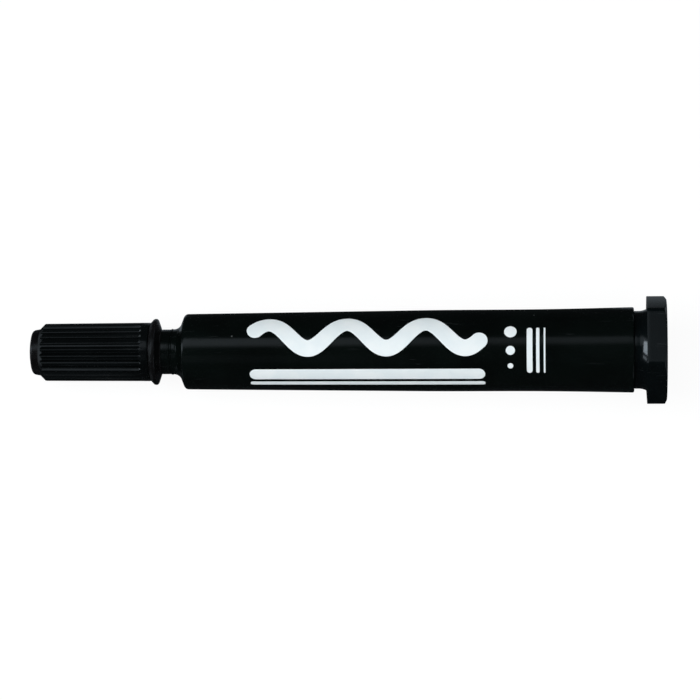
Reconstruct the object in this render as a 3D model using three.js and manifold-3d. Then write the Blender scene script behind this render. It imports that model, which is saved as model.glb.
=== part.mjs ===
// A capped permanent marker that lies along X, made of eight pieces.
// The origin is the centre of the flat rear face, +X points out of that face, the cap is at -X
// and +Z is up. Two of the flange's six flats face +Z and -Z. Sizes are millimetres.

import * as THREE from "three";
import { mergeVertices } from "three/addons/utils/BufferGeometryUtils.js";
import Module from "manifold-3d";

const wasm = await Module();
wasm.setup();

// Clearances
const seatGap = 0.05; // between two faces that seat on each other
const nibFit = 0.05; // radial, nib in its holder and in the reservoir
const shankFit = 0.05; // radial, nib holder in the barrel's neck
const plugFit = 0.05; // radial, plug cup in the barrel's bore
const beadFit = 0.01; // radial, sealing beads of the plug cup
const capFit = 0.12; // radial, cap on the nib holder's spigot
const ridgeFit = 0.04; // radial, snap ridge of the nib holder in the cap
const sleeveFit = 0.03; // radial, grip sleeve on the inner cap
const filmFit = 0.02; // radial, film round the reservoir
const reservoirSlack = 0.1; // radial, wrapped reservoir between the barrel's ribs

// Nib
const nibRadius = 2;
const nibReach = 6.3; // out of the nib holder
const nibGrip = 6; // into the reservoir
const nibTipLength = 3.4;
const nibTipRadius = 0.9;

// Nib holder
const shankWall = 1.55;
const collarInset = 0.05; // collar below the neck's radius
const collarLength = 1.9;
const spigotStep = 0.75; // from the collar's radius down to the spigot's
const spigotLength = 7;
const ridgeSetback = 2; // from the collar to the snap ridge
const ridgeLength = 1.2;
const coneStep = 0.35; // from the spigot's radius down to the cone's
const coneLength = 7;
const coneTipWall = 0.9;

// Barrel
const barrelLength = 94.83; // rear rim to the edge of the shoulder
const barrelFrontRadius = 8;
const barrelTaper = 1.05; // growth of the radius from the shoulder to the rear rim
const barrelWall = 1.15;
const barrelRimRounding = 0.35;
const barrelWaistDepth = 0.19;
const barrelWaistSetback = 17.7; // of the waist's middle from the rear rim
const barrelWaistReach = 28; // either way from its middle
const barrelWaistSteps = 9;
const shoulderAngle = THREE.MathUtils.degToRad(68); // of the slope to the axis
const shoulderWall = 1.2;
const shoulderFillet = 2;
const shoulderEdgeRounding = 0.85;
const neckLength = 1.74; // in front of the foot of the shoulder
const neckWall = 1.15;
const neckRimRounding = 0.12;
const ribCount = 4;
const ribHeight = 0.35; // at the front of the bore
const ribThickness = 1;
const ribSink = 0.4; // into the barrel's wall

// Ink reservoir and its film
const reservoirSetback = 1.5; // behind the bore's front end
const shankGap = 0.3; // between the nib holder's shank and the reservoir
const socketGap = 0.3; // behind the nib in the reservoir
const filmThickness = 0.2;

// Rear plug
const flangeThickness = 4.2;
const flangeAcrossFlats = 20.6;
const flangeCornerRounding = 1;
const flangeEdgeRounding = 0.25;
const flareLength = 1.69;
const flareRadius = 3.5;
const bandLength = 0.9;
const bandInset = 0.88; // band below the barrel's rear radius
const rearWall = 1.6;
const cupLength = 8.2; // in the barrel
const cupWall = 1.2;
const cupLeadIn = 0.4;
const beadCount = 2;
const beadLength = 0.8;
const beadPitch = 2.4;
const finPlates = 2; // crossed plates that the reservoir stands on
const finThickness = 1;

// Inner cap
const capLength = 28.3;
const innerCapWall = 0.85;
const capEndWall = 1.35;
const capLeadIn = 0.3;
const capBottomRounding = 0.8;
const lipInset = 0.1; // mouth lip below the collar's radius
const bellLength = 2.35; // mouth flange
const bellRise = 0.8; // of the flange's crest over the sleeve, before its edges are rounded
const bellCrest = 1; // from the mouth to the crest
const bellCrestLength = 0.62;
const bellEdgeRounding = 0.3;
const bellFrontRounding = 0.5;
const domeReach = 2.3; // out of the sleeve
const domeDraft = 0.3;
const domeCrown = 0.64; // rise of the crowned end
const domeRounding = 0.8;

// Grip sleeve
const sleeveWall = 1.08; // at the front, to the crests of its ribs
const sleeveFlare = 0.14; // growth of the radius towards the mouth
const sleeveRimWall = 0.08; // at the front edge of the chamfer
const sleeveChamfer = 1;
const sleeveMouthRounding = 0.35;
const gripRibs = 27;
const gripTurn = -0.25; // of a crest from +Z towards +Y, in rib spacings
const gripRibDepth = 0.42;
const gripCollar = 1.5; // smooth stretch behind the ribs
const gripRunout = 0.55;

// Radii, from the nib outwards
const holderBore = nibRadius + nibFit;
const shankRadius = holderBore + shankWall;
const neckBore = shankRadius + shankFit;
const neckRadius = neckBore + neckWall;
const collarRadius = neckRadius - collarInset;
const spigotRadius = collarRadius - spigotStep;
const capBore = spigotRadius + capFit;
const innerCapRadius = capBore + innerCapWall;
const sleeveBore = innerCapRadius + sleeveFit;
const sleeveRadius = sleeveBore + sleeveWall;
const sleeveMouthRadius = sleeveRadius + sleeveFlare;
const barrelRearRadius = barrelFrontRadius + barrelTaper;
const reservoirRadius = barrelFrontRadius - barrelWall - ribHeight - reservoirSlack - filmThickness - filmFit;
const filmBore = reservoirRadius + filmFit;
const filmRadius = filmBore + filmThickness;
const ribInnerRadius = filmRadius + reservoirSlack;

// Places along X, from the rear face forwards
const flangeFrontX = -flangeThickness;
const bandRearX = flangeFrontX - flareLength;
const bandFrontX = bandRearX - bandLength;
const barrelRearX = bandFrontX - seatGap;
const cupFrontX = barrelRearX - cupLength;
const shoulderTopX = barrelRearX - barrelLength;
const shoulderFootX = shoulderTopX - (barrelFrontRadius - neckRadius) / Math.tan(shoulderAngle);
const neckFrontX = shoulderFootX - neckLength;
const collarRearX = neckFrontX - seatGap;
const collarFrontX = collarRearX - collarLength;
const spigotFrontX = collarFrontX - spigotLength;
const coneTipX = spigotFrontX - coneLength;
const nibTipX = coneTipX - nibReach;
const capMouthX = collarFrontX - seatGap;

// Radius of the barrel's tapered bore at a place along X.
function boreAt(x) {
  const share = (x - shoulderTopX) / barrelLength;
  return barrelFrontRadius + barrelTaper * share - barrelWall;
}

// Place along X where the inner face of the shoulder, parallel to its outer slope, has a radius.
function innerShoulderX(radius) {
  const outer = shoulderFootX + (radius - neckRadius) / Math.tan(shoulderAngle);
  return outer + shoulderWall / Math.sin(shoulderAngle);
}

const boreFrontRadius = boreAt(shoulderTopX);
const boreFrontX = innerShoulderX(boreFrontRadius);
const reservoirFrontX = boreFrontX + reservoirSetback;
const reservoirRearX = cupFrontX - seatGap;
const shankRearX = reservoirFrontX - shankGap;
const nibRearX = reservoirFrontX + nibGrip;

const segments = 48; // round a turned piece
const chordError = 0.015; // farthest that a rounding's chords lie from its arc

// A rounding of a corner between two straight stretches, as the points of a tangent arc.
function roundedCorner(before, corner, after, rounding) {
  const back = before.clone().sub(corner).normalize();
  const on = after.clone().sub(corner).normalize();
  const half = Math.acos(THREE.MathUtils.clamp(back.dot(on), -1, 1)) / 2;
  const middle = back.clone().add(on).normalize();
  const centre = corner.clone().addScaledVector(middle, rounding / Math.sin(half));
  const start = corner.clone().addScaledVector(back, rounding / Math.tan(half)).sub(centre);
  const sweep = (Math.PI - 2 * half) * Math.sign(back.cross(on)) * -1;
  const chordSweep = 2 * Math.acos(1 - Math.min(1, chordError / rounding));
  const steps = Math.max(2, Math.ceil(Math.abs(sweep) / chordSweep));
  const points = [];
  for (let i = 0; i <= steps; i++) {
    points.push(start.clone().rotateAround(new THREE.Vector2(), (sweep * i) / steps).add(centre));
  }
  return points;
}

// Corners [x, radius, rounding] to a lathe profile. A closed profile ends where it starts.
function profileOf(corners, closed) {
  const at = (i) => {
    const [x, radius] = corners[(i + corners.length) % corners.length];
    return new THREE.Vector2(radius, x);
  };
  const points = corners.flatMap(([, , rounding = 0], i) =>
    rounding > 0 ? roundedCorner(at(i - 1), at(i), at(i + 1), rounding) : [at(i)],
  );
  return closed ? [...points, points[0].clone()] : points;
}

// A turned body round X. The corners of its outside run forwards, towards -X, and a profile that
// isn't closed starts and ends on the axis.
function turned(corners, closed, sides = segments) {
  const profile = profileOf(corners, closed).reverse();
  return new THREE.LatheGeometry(profile, sides).rotateZ(-Math.PI / 2);
}

// A plate along X: an outline of [x, radius] points, as thick as asked, turned round X by an angle.
function plate(outline, thickness, angle) {
  const shape = new THREE.Shape(outline.map(([x, radius]) => new THREE.Vector2(x, radius)));
  const extruded = new THREE.ExtrudeGeometry(shape, { depth: thickness, bevelEnabled: false });
  return extruded.translate(0, 0, -thickness / 2).rotateX(angle);
}

function solidOf(geometry) {
  const bare = geometry.clone();
  bare.deleteAttribute("normal");
  bare.deleteAttribute("uv");
  const merged = mergeVertices(bare, 1e-4);
  return new wasm.Manifold(
    new wasm.Mesh({
      numProp: 3,
      vertProperties: merged.getAttribute("position").array,
      triVerts: new Uint32Array(merged.getIndex().array),
    }),
  );
}

function geometryOf(solid) {
  const { vertProperties, triVerts } = solid.getMesh();
  const indexed = new THREE.BufferGeometry();
  indexed.setAttribute("position", new THREE.BufferAttribute(vertProperties, 3));
  indexed.setIndex(new THREE.BufferAttribute(triVerts, 1));
  const geometry = indexed.toNonIndexed();
  geometry.computeVertexNormals();
  return geometry;
}

const joined = (first, ...others) => geometryOf(others.reduce((sum, g) => sum.add(solidOf(g)), solidOf(first)));

// The barrel's outer radius grows evenly from the shoulder to the rear, less a shallow cosine waist.
function barrelRadiusAt(x) {
  const share = (x - shoulderTopX) / (barrelRearX - shoulderTopX);
  const fromMiddle = (x - barrelRearX + barrelWaistSetback) / barrelWaistReach;
  const fall = (1 + Math.cos(Math.PI * THREE.MathUtils.clamp(fromMiddle, -1, 1))) / 2;
  return THREE.MathUtils.lerp(barrelFrontRadius, barrelRearRadius, share) - barrelWaistDepth * fall;
}

// Barrel: a tapered tube with a steep shoulder, a neck for the nib holder and ribs in its bore.
function barrelGeometry() {
  const waistStep = (barrelWaistSetback + barrelWaistReach) / barrelWaistSteps;
  const waistStations = Array.from({ length: barrelWaistSteps }, (_, i) => barrelRearX - waistStep * (i + 1));
  const tube = turned(
    [
      [neckFrontX, neckBore],
      [innerShoulderX(neckBore), neckBore],
      [boreFrontX, boreFrontRadius],
      [barrelRearX, barrelRearRadius - barrelWall],
      [barrelRearX, barrelRadiusAt(barrelRearX), barrelRimRounding],
      ...waistStations.map((x) => [x, barrelRadiusAt(x)]),
      [shoulderTopX, barrelFrontRadius, shoulderEdgeRounding],
      [shoulderFootX, neckRadius, shoulderFillet],
      [neckFrontX, neckRadius, neckRimRounding],
    ],
    true,
  );
  const ribFrontX = boreFrontX + ribSink;
  const ribRearX = cupFrontX - ribThickness;
  const outline = [
    [ribFrontX, ribInnerRadius],
    [ribRearX, ribInnerRadius],
    [ribRearX, boreAt(ribRearX) + ribSink],
    [ribFrontX, boreAt(ribFrontX) + ribSink],
  ];
  const ribs = Array.from({ length: ribCount }, (_, i) =>
    plate(outline, ribThickness, ((i + 0.5) / ribCount) * 2 * Math.PI),
  );
  return joined(tube, ...ribs);
}

// Hexagon with rounded corners, two of its flats facing +X and -X of the drawing plane.
function hexagon() {
  const toCentre = (flangeAcrossFlats / 2 - flangeCornerRounding) / Math.cos(Math.PI / 6);
  const shape = new THREE.Shape();
  for (let i = 0; i < 6; i++) {
    const angle = Math.PI / 2 + (i * Math.PI) / 3;
    const x = toCentre * Math.cos(angle);
    const y = toCentre * Math.sin(angle);
    shape.absarc(x, y, flangeCornerRounding, angle - Math.PI / 6, angle + Math.PI / 6, false);
  }
  return shape;
}

// Rear plug: a six-sided flange, a band with a hollow flare and a cup pressed into the barrel.
function rearPlugGeometry() {
  const flange = new THREE.ExtrudeGeometry(hexagon(), {
    depth: flangeThickness - 2 * flangeEdgeRounding,
    bevelThickness: flangeEdgeRounding,
    bevelSize: flangeEdgeRounding,
    bevelOffset: -flangeEdgeRounding,
    bevelSegments: 2,
    curveSegments: 3,
  });
  flange.rotateY(Math.PI / 2).translate(-flangeThickness + flangeEdgeRounding, 0, 0);

  const bandRadius = barrelRearRadius - bandInset;
  const cupRadius = boreAt(cupFrontX) - plugFit;
  const cupBore = cupRadius - cupWall;
  const flareSweep = Math.asin(flareLength / flareRadius);
  const flareSteps = 4;
  const flare = Array.from({ length: flareSteps + 1 }, (_, i) => {
    const angle = flareSweep * (1 - i / flareSteps);
    return [bandRearX + flareRadius * Math.sin(angle), bandRadius + flareRadius * (1 - Math.cos(angle))];
  });
  const beads = Array.from({ length: beadCount }, (_, i) => {
    const middle = barrelRearX - (i + 1) * beadPitch;
    return [
      [middle + beadLength / 2, cupRadius],
      [middle, boreAt(middle) - beadFit],
      [middle - beadLength / 2, cupRadius],
    ];
  }).flat();
  const stem = turned([
    [-rearWall, 0],
    [-rearWall, flare[0][1]],
    ...flare,
    [bandFrontX, bandRadius],
    [bandFrontX, cupRadius],
    ...beads,
    [cupFrontX + cupLeadIn, cupRadius],
    [cupFrontX, cupRadius - cupLeadIn],
    [cupFrontX, 0],
  ]);
  const core = turned([
    [-rearWall, 0],
    [-rearWall, cupBore],
    [cupFrontX - cupLeadIn, cupBore],
    [cupFrontX - cupLeadIn, 0],
  ]);
  const finReach = cupRadius - cupWall / 2;
  const finOutline = [
    [-rearWall / 2, -finReach],
    [-rearWall / 2, finReach],
    [cupFrontX, finReach],
    [cupFrontX, -finReach],
  ];
  const shell = solidOf(flange).add(solidOf(stem)).subtract(solidOf(core));
  const fins = Array.from({ length: finPlates }, (_, i) =>
    solidOf(plate(finOutline, finThickness, (i / finPlates) * Math.PI)),
  );
  return geometryOf(fins.reduce((sum, fin) => sum.add(fin), shell));
}

// Nib holder: a shank in the barrel's neck, a collar, the cap's spigot and the cone round the nib.
function nibHolderGeometry() {
  const ridgeX = collarFrontX - ridgeSetback;
  return turned(
    [
      [shankRearX, holderBore],
      [shankRearX, shankRadius],
      [collarRearX, shankRadius],
      [collarRearX, collarRadius],
      [collarFrontX, collarRadius, neckRimRounding],
      [collarFrontX, spigotRadius],
      [ridgeX + ridgeLength / 2, spigotRadius],
      [ridgeX, capBore - ridgeFit],
      [ridgeX - ridgeLength / 2, spigotRadius],
      [spigotFrontX, spigotRadius],
      [spigotFrontX, spigotRadius - coneStep],
      [coneTipX, holderBore + coneTipWall],
      [coneTipX, holderBore],
    ],
    true,
  );
}

// Nib: a fibre rod with a bullet tip.
function nibGeometry() {
  return turned([
    [nibRearX, 0],
    [nibRearX, nibRadius],
    [nibTipX + nibTipLength, nibRadius],
    [nibTipX, nibTipRadius, nibTipRadius * 0.8],
    [nibTipX, 0],
  ]);
}

// Ink reservoir: a fibre rod with a socket for the nib's tail.
function reservoirGeometry() {
  const socketEndX = nibRearX + socketGap;
  return turned([
    [reservoirRearX, 0],
    [reservoirRearX, reservoirRadius],
    [reservoirFrontX, reservoirRadius],
    [reservoirFrontX, holderBore],
    [socketEndX, holderBore],
    [socketEndX, 0],
  ]);
}

// Film wrapped round the reservoir, as long as the reservoir.
function filmGeometry() {
  return turned(
    [
      [reservoirFrontX, filmBore],
      [reservoirRearX, filmBore],
      [reservoirRearX, filmRadius],
      [reservoirFrontX, filmRadius],
    ],
    true,
  );
}

// Inner cap: a tube with a crowned end and a bell-shaped mouth flange. Its mouth is at x = 0.
function innerCapGeometry() {
  const domeRadius = innerCapRadius - domeDraft;
  const crownSteps = 3;
  const crown = Array.from({ length: crownSteps }, (_, i) => {
    const share = 1 - (i + 1) / crownSteps;
    return [-capLength + domeCrown * share * share, domeRadius * share];
  });
  const bellFrontX = -bellLength;
  return turned([
    [-capLength + capEndWall, 0],
    [-capLength + capEndWall, capBore, capBottomRounding],
    [-capLeadIn, capBore],
    [0, capBore + capLeadIn],
    [0, collarRadius - lipInset],
    [-bellCrest, sleeveMouthRadius + bellRise, bellEdgeRounding],
    [-bellCrest - bellCrestLength, sleeveMouthRadius + bellRise, bellFrontRounding],
    [bellFrontX, sleeveMouthRadius],
    [bellFrontX, innerCapRadius],
    [-capLength + domeReach, innerCapRadius],
    [-capLength + domeCrown, domeRadius, domeRounding],
    ...crown,
  ]);
}

// Grip sleeve: pressed on the inner cap between its dome and its mouth flange. Its ribs are crests
// and hollows of a cosine round the axis. The hollows rise to a point at the smooth collar.
function gripSleeveGeometry() {
  const frontX = -capLength + domeReach;
  const rearX = -bellLength - seatGap;
  const slope = (sleeveMouthRadius - sleeveRadius) / (rearX - frontX);
  const crestAt = (x) => sleeveRadius + slope * (x - frontX);
  const rimRadius = sleeveBore + sleeveRimWall;
  const hollowShare = (sleeveRadius - gripRibDepth - rimRadius) / (sleeveRadius - rimRadius);
  const runoutEndX = rearX - gripCollar;
  const runoutStartX = runoutEndX - gripRunout;
  const stations = [
    runoutEndX,
    runoutStartX + gripRunout / 2,
    runoutStartX,
    frontX + sleeveChamfer,
  ];
  const geometry = turned(
    [
      [frontX, sleeveBore],
      [rearX, sleeveBore],
      [rearX, sleeveMouthRadius, sleeveMouthRounding],
      ...stations.map((x) => [x, crestAt(x)]),
      [frontX + sleeveChamfer * hollowShare, rimRadius + (sleeveRadius - rimRadius) * hollowShare],
      [frontX, rimRadius],
    ],
    true,
    gripRibs * 4,
  );

  const position = geometry.getAttribute("position");
  const point = new THREE.Vector3();
  for (let i = 0; i < position.count; i++) {
    point.fromBufferAttribute(position, i);
    const radius = Math.hypot(point.y, point.z);
    const angle = Math.atan2(point.y, point.z);
    const hollow = (1 - Math.cos(gripRibs * angle - 2 * Math.PI * gripTurn)) / 2;
    const rise = THREE.MathUtils.clamp((point.x - runoutStartX) / gripRunout, 0, 1);
    const floor = crestAt(point.x) - gripRibDepth * (hollow - rise);
    const scale = Math.min(1, floor / radius);
    position.setXYZ(i, point.x, point.y * scale, point.z * scale);
  }
  geometry.computeVertexNormals();
  return geometry;
}

function plastic(color, roughness) {
  return new THREE.MeshStandardMaterial({ color, roughness, metalness: 0 });
}

const glossBlack = plastic(0x0b0e0f, 0.3);
const plugBlack = plastic(0x111517, 0.35);
const gripBlack = plastic(0x0e1215, 0.5);
const capBlack = plastic(0x151516, 0.4);
const holderBlack = plastic(0x101212, 0.4);
const inkedFibre = new THREE.MeshStandardMaterial({ color: 0x1a1a1e, roughness: 0.95 });
const paleFibre = new THREE.MeshStandardMaterial({ color: 0x2a2a33, roughness: 1 });
const clearFilm = new THREE.MeshStandardMaterial({ color: 0xd8dadc, roughness: 0.25 });

function piece(name, geometry, material) {
  const mesh = new THREE.Mesh(geometry, material);
  mesh.name = name;
  return mesh;
}

const pen = new THREE.Group();
pen.add(
  piece("barrel", barrelGeometry(), glossBlack),
  piece("rear_plug", rearPlugGeometry(), plugBlack),
  piece("nib_holder", nibHolderGeometry(), holderBlack),
  piece("nib", nibGeometry(), inkedFibre),
  piece("ink_reservoir", reservoirGeometry(), paleFibre),
  piece("reservoir_film", filmGeometry(), clearFilm),
);

const cap = new THREE.Group();
cap.position.x = capMouthX;
cap.add(
  piece("inner_cap", innerCapGeometry(), capBlack),
  piece("cap_grip_sleeve", gripSleeveGeometry(), gripBlack),
);

const marker = new THREE.Group();
marker.add(pen, cap);

export default marker;
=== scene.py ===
# A capped black permanent marker on a white table, seen from above. Metres, +Z up, the cap at -X.
import math

import bpy
import numpy as np
from mathutils import Matrix, Vector


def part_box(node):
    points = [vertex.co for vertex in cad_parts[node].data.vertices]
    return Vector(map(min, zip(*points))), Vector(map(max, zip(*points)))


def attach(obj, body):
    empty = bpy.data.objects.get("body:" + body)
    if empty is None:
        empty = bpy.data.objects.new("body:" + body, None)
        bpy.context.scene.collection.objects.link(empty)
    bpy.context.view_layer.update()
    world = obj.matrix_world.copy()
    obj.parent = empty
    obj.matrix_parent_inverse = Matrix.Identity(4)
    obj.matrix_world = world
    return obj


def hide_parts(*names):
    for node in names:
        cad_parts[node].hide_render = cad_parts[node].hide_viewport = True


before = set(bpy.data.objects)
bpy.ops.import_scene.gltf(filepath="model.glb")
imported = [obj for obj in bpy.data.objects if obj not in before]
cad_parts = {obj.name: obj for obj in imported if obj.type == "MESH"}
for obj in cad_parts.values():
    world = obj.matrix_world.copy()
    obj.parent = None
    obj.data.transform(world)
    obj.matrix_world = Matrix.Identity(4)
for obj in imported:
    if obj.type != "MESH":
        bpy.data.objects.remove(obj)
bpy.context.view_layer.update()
print("frame loaded:", len(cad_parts), "nodes")

mm = 0.001        # profiles are written in millimetres
noiseSpan = (0.3, 0.7)        # most of what a noise texture gives lies between these


# Rounds the corners (x, radius, rounding) of a profile. Each rounding is an arc that touches both
# stretches, with its centre on the bisector, rounding / sin(half the corner) away from the corner.
def roundedProfile(corners, steps=10):
    places = np.array([corner[:2] for corner in corners], float)
    count = len(places)
    parts = []
    for i, corner in enumerate(places):
        rounding = corners[i][2] if len(corners[i]) > 2 else 0
        if rounding == 0:
            parts.append(corner[None, :])
            continue
        back = places[i - 1] - corner
        onward = places[(i + 1) % count] - corner
        back /= np.linalg.norm(back)
        onward /= np.linalg.norm(onward)
        half = math.acos(np.clip(back @ onward, -1, 1)) / 2
        bisector = (back + onward) / np.linalg.norm(back + onward)
        centre = corner + bisector * rounding / math.sin(half)
        start = corner + back * rounding / math.tan(half) - centre
        end = corner + onward * rounding / math.tan(half) - centre
        sweep = math.pi - 2 * half
        share = np.linspace(0, 1, steps + 1)[:, None]
        turn = np.sin((1 - share) * sweep) * start + np.sin(share * sweep) * end
        parts.append(centre + turn / math.sin(sweep))
    return np.concatenate(parts)


# Cuts every stretch of a profile that is longer than the given length into equal parts.
def withRings(profile, longest, closed=False):
    starts = profile if closed else profile[:-1]
    steps = (np.roll(profile, -1, axis=0) - profile)[: len(starts)]
    counts = np.ceil(np.linalg.norm(steps, axis=1) / longest).astype(int).clip(1)
    stretch = np.repeat(np.arange(len(counts)), counts)
    within = np.arange(counts.sum()) - np.repeat(np.cumsum(counts) - counts, counts)
    points = starts[stretch] + steps[stretch] * (within / counts[stretch])[:, None]
    return points if closed else np.concatenate([points, profile[-1:]])


# Vertices and faces of a grid of points, closed across its columns. A first or last row that is
# one point is kept as one vertex with a fan of triangles; closed rows join the last to the first.
def gridSurface(points, closedRows=False):
    startsAtPole = int(np.ptp(points[0], axis=0).max() < 1e-9)
    endsAtPole = int(np.ptp(points[-1], axis=0).max() < 1e-9)
    body = points[startsAtPole : len(points) - endsAtPole]
    columns = body.shape[1]
    ids = np.arange(body.shape[0] * columns).reshape(-1, columns)
    beside = np.roll(ids, -1, axis=1)
    vertices = body.reshape(-1, 3)
    faces = np.stack([ids[:-1], beside[:-1], beside[1:], ids[1:]], axis=-1).reshape(-1, 4).tolist()
    if closedRows:
        faces += np.stack([ids[-1], beside[-1], beside[0], ids[0]], axis=-1).tolist()
    if startsAtPole:
        pole = np.full(columns, len(vertices))
        faces += np.stack([pole, beside[0], ids[0]], axis=-1).tolist()
        vertices = np.concatenate([vertices, points[0, :1]])
    if endsAtPole:
        pole = np.full(columns, len(vertices))
        faces += np.stack([ids[-1], beside[-1], pole], axis=-1).tolist()
        vertices = np.concatenate([vertices, points[-1, :1]])
    return vertices, faces


# A new object of a mesh, a lamp or a camera, put in the scene.
def placed(name, data):
    made = bpy.data.objects.new(name, data)
    bpy.context.scene.collection.objects.link(made)
    return made


# One object from several surfaces, each (vertices, faces), smooth but for its sharp edges.
def surfaceObject(name, surfaces, sharpAngle=32):
    offsets = np.cumsum([0] + [len(vertices) for vertices, faces in surfaces])
    vertices = np.concatenate([part[0] for part in surfaces])
    faces = [[int(offset) + i for i in face] for offset, part in zip(offsets, surfaces) for face in part[1]]
    mesh = bpy.data.meshes.new(name)
    mesh.from_pydata((vertices * mm).tolist(), [], faces)
    mesh.shade_smooth()
    mesh.set_sharp_from_angle(angle=math.radians(sharpAngle))
    mesh.update()
    print("made", name, "with", len(faces), "faces")
    return placed(name, mesh)


# The direction of an angle round X: y = sin(angle), z = cos(angle).
def aroundX(angle):
    return np.stack([np.sin(angle), np.cos(angle)], axis=-1)


# A turned surface round X, whose outside runs towards -X. A shape function may give the radius by
# place and angle.
def turnedSurface(profile, sides, closed=False, shape=None):
    angle = np.linspace(0, 2 * math.pi, sides, endpoint=False)[None, :]
    x = profile[:, :1] + 0 * angle
    radius = profile[:, 1:] + 0 * angle
    if shape:
        radius = shape(x, radius, angle)
    points = np.stack([x, radius * np.sin(angle), radius * np.cos(angle)], axis=-1)
    return gridSurface(points, closedRows=closed)


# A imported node's rear and front place along X and its widest radius, in millimetres.
def spanOf(node):
    low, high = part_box(node)
    return high.x / mm, low.x / mm, high.y / mm


# A finished piece: it rides on a body, stands for its node and takes the finish that it is given.
def finishPiece(piece, body, material, node=None):
    piece.data.materials.append(material)
    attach(piece, body)
    if node:
        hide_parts(node)


# Makes a shader node. An input is a socket to link or a value to set; the rest are its settings.
def addNode(tree, kind, inputs=None, **settings):
    made = tree.nodes.new("ShaderNode" + kind)
    for key, value in settings.items():
        setattr(made, key, value)
    for key, value in (inputs or {}).items():
        if isinstance(value, bpy.types.NodeSocket):
            tree.links.new(value, made.inputs[key])
        else:
            made.inputs[key].default_value = value
    return made


def newMaterial(name):
    material = bpy.data.materials.new(name)
    material.use_nodes = True
    material.node_tree.nodes.clear()
    return material, material.node_tree


# Ends a piece's material in its one shader.
def shaded(material, tree, inputs):
    shader = addNode(tree, "BsdfPrincipled", inputs)
    addNode(tree, "OutputMaterial", {"Surface": shader.outputs["BSDF"]})
    return material


# A smooth step of a value from 0 at low to 1 at high.
def stepped(tree, value, low, high, toLow=0.0, toHigh=1.0):
    inputs = {"Value": value, "From Min": low, "From Max": high, "To Min": toLow, "To Max": toHigh}
    return addNode(tree, "MapRange", inputs, interpolation_type="SMOOTHSTEP").outputs["Result"]


# Values joined one after the other by an operation.
def calculated(tree, operation, *values):
    result = values[0]
    for value in values[1:]:
        result = addNode(tree, "Math", {0: result, 1: value}, operation=operation).outputs["Value"]
    return result


def product(tree, *values):
    return calculated(tree, "MULTIPLY", *values)


def total(tree, *values):
    return calculated(tree, "ADD", *values)


# Two colours mixed, each a socket or a value.
def blended(tree, share, first, second):
    return addNode(tree, "Mix", {0: share, 6: first, 7: second}, data_type="RGBA").outputs[2]


# A normal bent by a height pattern whose full rise is given in metres. A negative rise sinks it.
def raised(tree, height, rise, normal=None):
    inputs = {"Height": height, "Strength": 1.0, "Distance": abs(rise)}
    if normal:
        inputs["Normal"] = normal
    return addNode(tree, "Bump", inputs, invert=rise < 0).outputs["Normal"]


# Noise of a feature size in metres, stretched along X by a factor.
def noiseAt(tree, place, size, stretch=1.0, detail=3.0, shift=(0.0, 0.0, 0.0)):
    scale = (1 / stretch, 1.0, 1.0)
    moved = addNode(tree, "Mapping", {"Vector": place, "Location": shift, "Scale": scale})
    inputs = {"Vector": moved.outputs["Vector"], "Scale": 1 / size, "Detail": detail}
    return addNode(tree, "TexNoise", inputs).outputs["Fac"]


# What the black plastics share; each piece's finish changes some of it.
blackPlastic = {
    "colour": (0.0014, 0.0025, 0.0022),
    "roughness": 0.30,
    "ior": 1.5,
    "mottle": (0.75, 1.3),        # times the colour
    "mottleSize": 0.009,
    "greaseSize": 0.006,
    "greaseFrom": (0.3, 0.72),
    "greaseRange": 0.04,
    "grainSize": 0.0005,
    "grainHeight": 0.000004,
    "waveSize": 0.008,
    "waveHeight": 0.00002,
    "hairSize": 0.0006,
    "hairStretch": 14.0,
    "hairFrom": (0.66, 0.72),
    "hairDepth": 0.000003,
    "hairPale": 0.15,
    "hairRough": 0.12,
    "hairColour": (0.02, 0.022, 0.024, 1.0),
    "dustSpacing": 0.0045,
    "dustSize": (0.06, 0.024),        # radii of a speck's rim and its middle, shares of the spacing
    "dustFrom": (0.7, 0.79),        # random values that have one: three in ten
    "dustColour": (0.05, 0.055, 0.055, 1.0),
    "dustRough": 0.5,
}


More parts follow.
